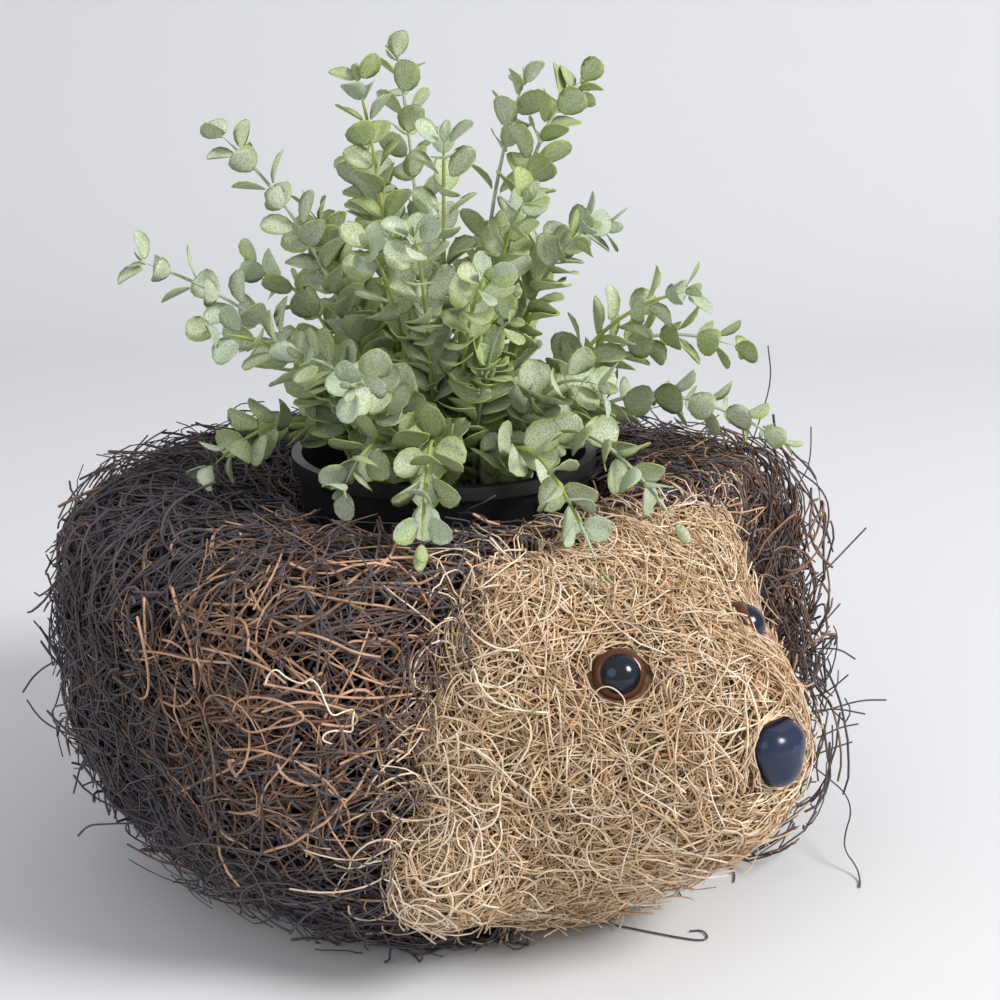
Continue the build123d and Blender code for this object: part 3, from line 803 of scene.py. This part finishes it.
# Long loose ends, as places in the photograph, between points in millimetres that they are as far away as.
far_corner = (136.0, -104.0, 100.0)
far_edge = (150.0, -70.0, 150.0)
far_floor = (104.0, -183.0, 4.0)
near_edge = (-152.0, 60.0, 110.0)
left_edge = (-124.0, 120.0, 110.0)
rear_edge = (-70.0, 130.0, 185.0)
loose_ends = [
    (far_corner, far_floor, [(800, 750), (814, 767), (828, 778), (846, 793), (852, 812), (845, 833), (844, 850),
                             (857, 867), (860, 882), (859, 898)]),
    (far_edge, far_edge, [(735, 490), (745, 462), (760, 420), (772, 380), (768, 346)]),
    (far_edge, far_edge, [(792, 500), (800, 481), (808, 469), (811, 451), (811, 427)]),
    (far_corner, far_corner, [(806, 585), (826, 570), (846, 549), (866, 528)]),
    (far_corner, far_corner, [(800, 718), (834, 708), (861, 700), (886, 700)]),
    (far_corner, far_corner, [(800, 652), (822, 648), (840, 649), (855, 659)]),
    (far_corner, far_corner, [(802, 760), (820, 753), (836, 747), (852, 742)]),
    (far_corner, far_corner, [(800, 744), (822, 736), (841, 727), (858, 724)]),
    (far_corner, far_corner, [(808, 712), (835, 708), (865, 714)]),
    (far_corner, far_corner, [(796, 700), (822, 695), (835, 686), (848, 675)]),
    (far_corner, far_corner, [(800, 694), (820, 684), (832, 670), (828, 659)]),
    (far_corner, far_corner, [(796, 652), (812, 634), (826, 620), (840, 604)]),
    (far_edge, far_edge, [(786, 462), (797, 470), (822, 488), (831, 512), (822, 548)]),
    (left_edge, left_edge, [(128, 750), (112, 745), (84, 740), (55, 729), (39, 718), (27, 700)]),
    (left_edge, left_edge, [(96, 664), (71, 657), (52, 662), (34, 675), (23, 692)]),
    (left_edge, left_edge, [(84, 668), (66, 655), (50, 640), (34, 621)]),
    (rear_edge, rear_edge, [(136, 508), (128, 490), (122, 474), (120, 460)]),
    (rear_edge, rear_edge, [(190, 486), (181, 470), (176, 450)]),
    (near_edge, near_edge, [(160, 822), (139, 823), (106, 824), (88, 825), (78, 836)]),
]
for start, finish, pixels in loose_ends:
    coat_strands.append((eased(facing_route(pixels, start, finish)), stray_radius, 0.08))

# Brown strands that stand out on the side, as places in the photograph.
brown_loops = [
    [(264, 684), (291, 689), (326, 696), (371, 699), (412, 694)],
    [(232, 714), (237, 699), (262, 696), (291, 705), (307, 718), (291, 726), (269, 728), (250, 734),
     (237, 724)],
    [(202, 648), (224, 653), (250, 661), (269, 669), (285, 683)],
    [(224, 750), (259, 749), (291, 761), (320, 767)],
    [(176, 794), (199, 782), (224, 772), (243, 761), (266, 753)],
    [(259, 820), (262, 791), (278, 772), (294, 753), (301, 743)],
    [(288, 633), (307, 633), (329, 640), (355, 653), (380, 657)],
    [(307, 889), (339, 897), (371, 901), (412, 900), (435, 898)],
    [(126, 650), (160, 652), (190, 660), (230, 663)],
    [(262, 712), (300, 700), (336, 706), (360, 716), (352, 728), (322, 724)],
    [(340, 764), (366, 752), (388, 748), (410, 754)],
]
coat_strands += [(eased(laid_route(pixels, coat_loop_height)), 0.58, 0.86) for pixels in brown_loops]
floor_end = [(566, 912), (578, 918), (620, 926), (665, 935), (700, 941), (709, 938), (703, 930), (690, 931)]
coat_strands.append((eased(floor_route(floor_end)), stray_radius, 0.05))
floor_twigs = [
    [(752, 836), (774, 839), (799, 824), (783, 818)],
    [(799, 826), (780, 840), (761, 853)],
    [(704, 852), (724, 860), (735, 872), (734, 882)],
    [(718, 856), (728, 857), (740, 854)],
    [(670, 874), (675, 884), (681, 896)],
    [(663, 870), (656, 880), (650, 888)],
]
coat_strands += [(eased(floor_route(pixels)), 0.4, 0.06) for pixels in floor_twigs]
show_strands("coat_strands", coat_strands, "hedgehog", "dark_fibre", dark_fibre)


# Pale face.
def on_face_outside(place, normal):
    return normal.y < 0.6 and normal.z > -0.97


def face_strand(place, normal, dice):
    length = dice.uniform(20.0, 60.0) * MILLI
    bend = dice.normal(0.0, 0.025)
    if dice.random() < 0.3:
        bend = dice.choice([-1.0, 1.0]) * dice.uniform(0.05, 0.11)
    turns = easy_turns(length, bend, dice.uniform(0.01, 0.04), dice)
    lift = dice.uniform(3.0, 10.0) if dice.random() < 0.1 else 0.0
    heights = loose_heights(len(turns), -3.0, 2.4, dice.uniform(0.6, 2.4), lift, dice)
    points = clear_walk(face_tree, place, any_way(dice), length, turns, heights)
    if not clear_of_buttons(points, lifted_strand_clear if lift else face_strand_clear):
        return None
    # The tone rises with a strand's height above the mat: painted shade low down and painted light on lifted
    # strands.
    tone = min(max(dice.normal(0.48, 0.24) + 40.0 * float(np.mean(heights)), 0.0), 1.0)
    return points, dice.uniform(0.24, 0.48), tone


face_dice = np.random.default_rng(23)
show_mat("face_mat", face_form, 3.5, 2.0, "pale_fibre", pale_mat_painted_shade, "face_coat")
face_strands = grow(face_skin, 10200, on_face_outside, face_strand, face_dice)


def at_face_edge(place, normal):
    return place.y > face_back - face_edge_band and in_face_plan(place, 1.3)


def edge_strand(place, normal, dice):
    """A pale loop that strays from the face's edge over the dark coat."""
    length, turns = loose_turns((16.0, 54.0), (0.02, 0.1), 0.03, dice)
    heights = loose_heights(len(turns), 0.5, 6.5, 1.5, 0.0, dice)
    points = clear_walk(animal_tree, place, any_way(dice), length, turns, heights)
    return points, dice.uniform(0.28, 0.5), dice.uniform(0.4, 1.0)


def at_face_foot(place, normal):
    return place.z < face_foot_band and normal.y < 0.6


def foot_strand(place, normal, dice):
    """A pale end that hangs out at the foot of the face."""
    length, turns = loose_turns((14.0, 38.0), (0.01, 0.07), 0.02, dice)
    heights = loose_heights(len(turns), 1.0, 8.0, 1.5, dice.uniform(0.0, 6.0), dice)
    points = clear_walk(face_tree, place, any_way(dice), length, turns, heights)
    return points, dice.uniform(0.28, 0.5), dice.uniform(0.3, 0.9)


face_strands += grow(face_skin, 760, at_face_edge, edge_strand, face_dice)
face_strands += grow(face_skin, 260, at_face_foot, foot_strand, face_dice)

# Pale strands that stand out, as places in the photograph: a bleached one in the coat, a loop over an eye's rim
# and loops along the cheek.
bleached_end = [(265, 685), (268, 675), (276, 668), (286, 678), (303, 685), (311, 678), (319, 686), (325, 702),
                (332, 717), (343, 712), (355, 708), (352, 722), (353, 733), (340, 730), (326, 732), (321, 740),
                (332, 744)]
eye_loop = [(588, 738), (588, 718), (591, 698), (599, 688), (608, 686), (618, 691), (626, 701), (622, 714)]
cheek_loops = [
    [(410, 828), (398, 848), (387, 876), (388, 900), (401, 915), (420, 922), (444, 924)],
    [(428, 828), (412, 846), (408, 864), (418, 882), (436, 889), (456, 880), (466, 858)],
    [(440, 625), (436, 650), (432, 688), (412, 704), (398, 717), (402, 727), (430, 730)],
    [(470, 580), (452, 606), (444, 640), (450, 664), (470, 676)],
    [(402, 790), (386, 806), (392, 818), (420, 822), (452, 812)],
]
face_strands.append((eased(laid_route(bleached_end, coat_loop_height)), 0.42, 1.0))
face_strands.append((eased(laid_route(eye_loop, eye_loop_height)), 0.3, 0.9))
face_strands += [(eased(laid_route(pixels, cheek_loop_height)), 0.45, 0.8) for pixels in cheek_loops]


def collar_strand(button, washer, dice):
    """A strand that lies round an eye or the nose and hides the edge of its seat."""
    boxes = [[Vector(corner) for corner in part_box(node)] for node in (button, washer)]
    middle, back = ((low + high) / 2.0 for low, high in boxes)
    axis = (middle - back).normalized()
    side = axis.orthogonal().normalized()
    start = dice.uniform(0.0, 2.0 * math.pi)
    span = dice.choice([-1.0, 1.0]) * dice.uniform(0.7, 2.4)
    height = dice.uniform(-0.5, 2.0) * MILLI
    slack = dice.uniform(0.0, 2.5) * MILLI
    flare = dice.uniform(0.0, 6.0) * MILLI
    points = []
    for run in np.linspace(0.0, 1.0, 9):
        outward = side.copy()
        outward.rotate(Quaternion(axis, start + span * run))
        reach = collar_start
        point = middle
        while touches_button(point, button_clear):
            reach += collar_step
            near, normal, _, _ = face_tree.find_nearest(middle + outward * reach)
            point = near + normal * height
        far = reach + slack + flare * (2.0 * run - 1.0) ** 2
        near, normal, _, _ = face_tree.find_nearest(middle + outward * far)
        points.append(near + normal * height)
    return points, dice.uniform(0.26, 0.45), dice.uniform(0.3, 0.9)


collars = [("eye_cup_left", "eye_washer_left", 46), ("eye_cup_right", "eye_washer_right", 46),
           ("nose_button", "nose_washer", 60)]
for button, washer, count in collars:
    collar = [collar_strand(button, washer, face_dice) for _ in range(count)]
    face_strands += [strand for strand in collar if clear_of_buttons(strand[0], 0.8 * button_clear)]
show_strands("face_strands", face_strands, "hedgehog", "pale_fibre", pale_fibre)


# Bed of fibre under the pot.
bed_form = felted("pot_bed", bed_grain)
bed_tree = BVHTree.FromBMesh(bed_form)


def bed_strand(place, normal, dice):
    length = dice.uniform(18.0, 44.0) * MILLI
    turns = easy_turns(length, dice.normal(0.0, 0.03), 0.01, dice)
    heights = loose_heights(len(turns), -2.0, -0.8, 0.4, 0.0, dice)
    points = walk(bed_tree, place, random_heading(normal, dice), length, turns, heights)
    return points, dice.uniform(0.3, 0.5), dice.random() * 0.4


bed_dice = np.random.default_rng(31)
show_mat("bed_mat", bed_form, 2.5, 1.2, "bed_fibre", dark_mat_painted_shade, "pot_bed")
bed_strands = grow(bed_form, 700, lambda place, normal: True, bed_strand, bed_dice)
show_strands("bed_strands", bed_strands, "hedgehog", "bed_fibre", dark_fibre)


# Plant.
pot_skin = welded("pot")
pot_tree = BVHTree.FromBMesh(pot_skin)
pot_skin.free()


def add_leaf(plant, plan, tone, base, along, normal, length, width, shape):
    """One cupped, pointed round leaf, grown from its base along its midrib."""
    cup, droop, wave, shade = shape
    side = normal.cross(along)
    grid = bmesh.ops.create_grid(plant, x_segments=6, y_segments=4, size=1.0, calc_uvs=False)
    faces = dict.fromkeys(face for vert in grid["verts"] for face in vert.link_faces)
    for vert in grid["verts"]:
        run = (1.0 - math.cos(math.pi * (vert.co.x + 1.0) / 2.0)) / 2.0
        across = vert.co.y
        half = width * max(math.sqrt(run * (1.0 - run)) * (0.86 + 0.14 * run), 0.035 if run < 0.5 else 0.02)
        rise = cup * width * (across * half / (width / 2.0)) ** 2 - droop * length * run * run
        rise += wave * width * math.sin(5.0 * run + 2.0 * across) * abs(across)
        for face in vert.link_faces:
            for loop in face.loops:
                if loop.vert is vert:
                    loop[plan].uv = (run, 0.5 + across / 2.0)
        vert[tone] = shade
        vert.co = base + along * (run * length) + side * (across * half) + normal * rise
    bmesh.ops.solidify(plant, geom=list(faces), thickness=leaf_thickness)


def islands(skin):
    """The separate shells of a welded mesh, in the same order each run."""
    left = dict.fromkeys(skin.verts)
    shells = []
    while left:
        front = [left.popitem()[0]]
        shell = list(front)
        while front:
            vert = front.pop()
            for edge in vert.link_edges:
                other = edge.other_vert(vert)
                if other in left:
                    del left[other]
                    front.append(other)
                    shell.append(other)
        shells.append(shell)
    return shells


def stem_joints(corners):
    """Middle points of a stem from its foot to its tip, from the corners of its square section."""
    left = [Vector(corner) for corner in corners]
    here = min(left, key=lambda corner: corner.z)
    joints = []
    while left:
        left.sort(key=lambda corner: (corner - here).length)
        ring = left[:4]
        left = left[4:]
        joints.append(sum(ring, Vector()) / len(ring))
        here = joints[-1]
    return joints


def stem_tube(name, joints):
    """A round stem through its joints, slimmer towards its tip and closed at both ends."""
    curve = new_curve(name, 1)
    spline = curve.splines.new("NURBS")
    spline.points.add(len(joints) - 1)
    spline.points.foreach_set("co", [value for joint in joints for value in (*joint, 1.0)])
    slims = np.linspace(stem_foot_radius, stem_tip_radius, len(joints))
    spline.points.foreach_set("radius", [0.0, *slims[1:-1], 0.0])
    spline.use_endpoint_u = True
    spline.order_u = 3
    spline.resolution_u = 2
    return drawn_mesh(name, curve)


def low_blanks(joints, dice):
    """Places for the small leaves below a stem's first full pair: base, end, normal and width share each."""
    made = []
    for here, there in zip(joints, joints[1:]):
        rise = (there - here).normalized()
        for share in (0.25, 0.75):
            spot = here.lerp(there, share)
            if spot.z < pot_high.z - leaf_start_drop:
                continue
            side = rise.orthogonal().normalized()
            side.rotate(Quaternion(rise, dice.uniform(0.0, 2.0 * math.pi)))
            for way in (-1.0, 1.0):
                slope = dice.uniform(0.55, 1.1)
                along = (side * way + rise * slope).normalized()
                roll = Quaternion(along, dice.uniform(-0.6, 0.6))
                base = spot + along * leaf_stalk
                end = base + along * (dice.uniform(14.0, 19.0) * MILLI)
                if pot_tree.find_nearest(end, pot_leaf_clear)[0] is None:
                    made.append((base, end, roll @ rise, dice.uniform(0.88, 1.0)))
    return made


def tip_blanks(joints, dice):
    """Places for the two narrow leaves that close a stem's tip."""
    rise = (joints[-1] - joints[-2]).normalized()
    side = rise.orthogonal().normalized()
    side.rotate(Quaternion(rise, dice.uniform(0.0, 2.0 * math.pi)))
    base = joints[-1] - rise * MILLI
    made = []
    for sway in (-0.5, 0.42):
        end = base + (rise + side * sway).normalized() * (dice.uniform(7.0, 10.5) * MILLI)
        made.append((base, end, rise - side * sway, tip_width_share))
    return made


def dress_sprig(name, dice):
    """A stem with its leaves, each where the solid's leaf blank is, and small ones at its foot and tip."""
    plant = welded(name)
    plan = plant.loops.layers.uv.new("leaf_plan")
    tone = plant.verts.layers.float.new("tone")
    shells = sorted(islands(plant), key=len)
    stem_line = np.array([vert.co for vert in shells[-1]])
    joints = stem_joints(stem_line)
    tip = joints[-1]
    blanks = []
    for shell in shells[:-1]:
        corners = np.array([vert.co for vert in shell])
        gaps = np.linalg.norm(corners[:, None, :] - stem_line[None, :, :], axis=2).min(axis=1)
        order = gaps.argsort()
        base = Vector(corners[order[:4]].mean(axis=0))
        end = Vector(corners[order[-4:]].mean(axis=0))
        normal = Vector(np.linalg.svd(corners - corners.mean(axis=0))[2][2])
        spot = stem_line[np.linalg.norm(stem_line - np.array(base), axis=1).argmin()]
        if normal.dot(tip - Vector(spot)) < 0.0:
            normal = -normal
        blanks.append((base, end, normal, dice.uniform(0.88, 1.0)))
    bmesh.ops.delete(plant, geom=plant.verts[:], context="VERTS")
    stem = stem_tube(name, joints)
    plant.from_mesh(stem)
    bpy.data.meshes.remove(stem)
    bmesh.ops.remove_doubles(plant, verts=plant.verts[:], dist=tip_weld_reach)
    for face in plant.faces:
        face.material_index = 0
    stem_faces = len(plant.faces)
    frost = dice.uniform(0.1, 0.85)
    first = len(joints)
    for base, _, _, _ in blanks:
        gaps = [(joint - base).length for joint in joints]
        first = min(first, gaps.index(min(gaps)))
    blanks += low_blanks(joints[:first + 1], dice)
    blanks += tip_blanks(joints, dice)
    for base, end, normal, width_share in blanks:
        along = (end - base).normalized()
        normal = (normal - along * normal.dot(along)).normalized()
        length = (end - base).length * 1.04
        shape = (dice.uniform(0.08, 0.26), dice.uniform(-0.12, 0.12), dice.uniform(-0.03, 0.03),
                 min(max(frost + dice.normal(0.0, 0.16), 0.0), 1.0))
        add_leaf(plant, plan, tone, base, along, normal, length, length * width_share, shape)
    plant.faces.ensure_lookup_table()
    for face in plant.faces[stem_faces:]:
        face.material_index = 1
    mesh = smooth_mesh(f"{name}_dressed", plant)
    piece = show(f"{name}_dressed", mesh, "plant", "leaf_plastic", frosted_stem, frosted_leaf)
    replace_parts(piece, name)


leaf_dice = np.random.default_rng(43)
for name in sprig_names:
    dress_sprig(name, leaf_dice)


# Finishes of the CAD nodes, by how their names start: the rest are washers.
finishes = [
    ("eye_cup", brown_iris), ("eye_pupil", black_gloss), ("nose_button", nose_gloss), ("pot_bed", dark_mat_painted_shade),
    ("pot", pot_plastic), ("plant_plug", plug_foam), ("body_coat", dark_mat_painted_shade), ("face_coat", pale_mat_painted_shade),
    ("frame_", frame_wire), ("sprig_", frosted_leaf),
]
for name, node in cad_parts.items():
    finish = next((finish for start, finish in finishes if name.startswith(start)), washer_plastic)
    node.data.materials.clear()
    node.data.materials.append(finish)


# Floor, light and camera.
def stage_material(name, shade):
    material = bpy.data.materials.new(name)
    material.use_nodes = True
    surface = material.node_tree.nodes["Principled BSDF"]
    surface.inputs["Base Color"].default_value = shade
    surface.inputs["Roughness"].default_value = 0.9
    surface.inputs["Specular IOR Level"].default_value = 0.1
    return material


view_side = Vector((0.7157, -0.6984, 0.0))
view_back = Vector((-0.6984, -0.7157, 0.0))
paper_front = 14.0
paper_reach = 14.0
paper_bend = -1.3
paper_radius = 0.6
paper_top = 4.0


def add_backdrop():
    """A paper sweep: the floor runs back and curves up behind the planter."""
    paper = bmesh.new()
    near = paper.verts.new(view_back * paper_front - view_side * paper_reach)
    far = paper.verts.new(view_back * paper_front + view_side * paper_reach)
    front = [paper.edges.new((near, far))]
    rows = [(paper_bend, 0.0)]
    for turn in np.linspace(0.15, math.pi / 2, 10):
        rows.append((paper_bend - paper_radius * math.sin(turn), paper_radius - paper_radius * math.cos(turn)))
    rows.append((paper_bend - paper_radius, paper_top))
    place = paper_front
    height = 0.0
    for depth, rise in rows:
        grown = bmesh.ops.extrude_edge_only(paper, edges=front)["geom"]
        front = [part for part in grown if isinstance(part, bmesh.types.BMEdge)]
        verts = [part for part in grown if isinstance(part, bmesh.types.BMVert)]
        shift = view_back * (depth - place) + Vector((0.0, 0.0, rise - height))
        bmesh.ops.translate(paper, verts=verts, vec=shift)
        place, height = depth, rise
    bmesh.ops.recalc_face_normals(paper, faces=paper.faces[:])
    mesh = smooth_mesh("paper_sweep", paper)
    mesh.materials.append(stage_material("pale_paper", srgb(222, 223, 226)))
    sweep = bpy.data.objects.new("paper_sweep", mesh)
    scene.collection.objects.link(sweep)


def add_lamp(name, place, aim, width, power, colour):
    lamp = bpy.data.lights.new(name, "AREA")
    lamp.shape = "DISK"
    lamp.size = width
    lamp.energy = power
    lamp.color = colour
    holder = bpy.data.objects.new(name, lamp)
    holder.location = place
    holder.rotation_euler = (aim - place).to_track_quat("-Z", "Y").to_euler()
    scene.collection.objects.link(holder)


add_backdrop()
middle = Vector((0.0, -0.02, 0.15))
add_lamp("window_key", middle + view_side * 1.9 + view_back * 1.0 + Vector((0.0, 0.0, 1.7)), middle, 1.0, 66.0,
         (1.0, 0.99, 0.98))
add_lamp("soft_fill", middle - view_side * 1.1 + view_back * 1.3 + Vector((0.0, 0.0, 0.9)), middle, 1.4, 6.0,
         (0.98, 0.99, 1.0))
sky = bpy.data.worlds.new("studio_air")
sky.use_nodes = True
air = sky.node_tree.nodes["Background"].inputs
air["Color"].default_value = (0.985, 0.99, 1.0, 1.0)
air["Strength"].default_value = 0.6
scene.world = sky

lens = bpy.data.cameras.new("photo_camera")
lens.sensor_width = sensor_width
lens.lens = lens_length
lens.clip_start = 0.01
camera = bpy.data.objects.new("photo_camera", lens)
camera.location = eye_point
camera.rotation_euler = eye_turn.to_euler()
scene.collection.objects.link(camera)
scene.camera = camera
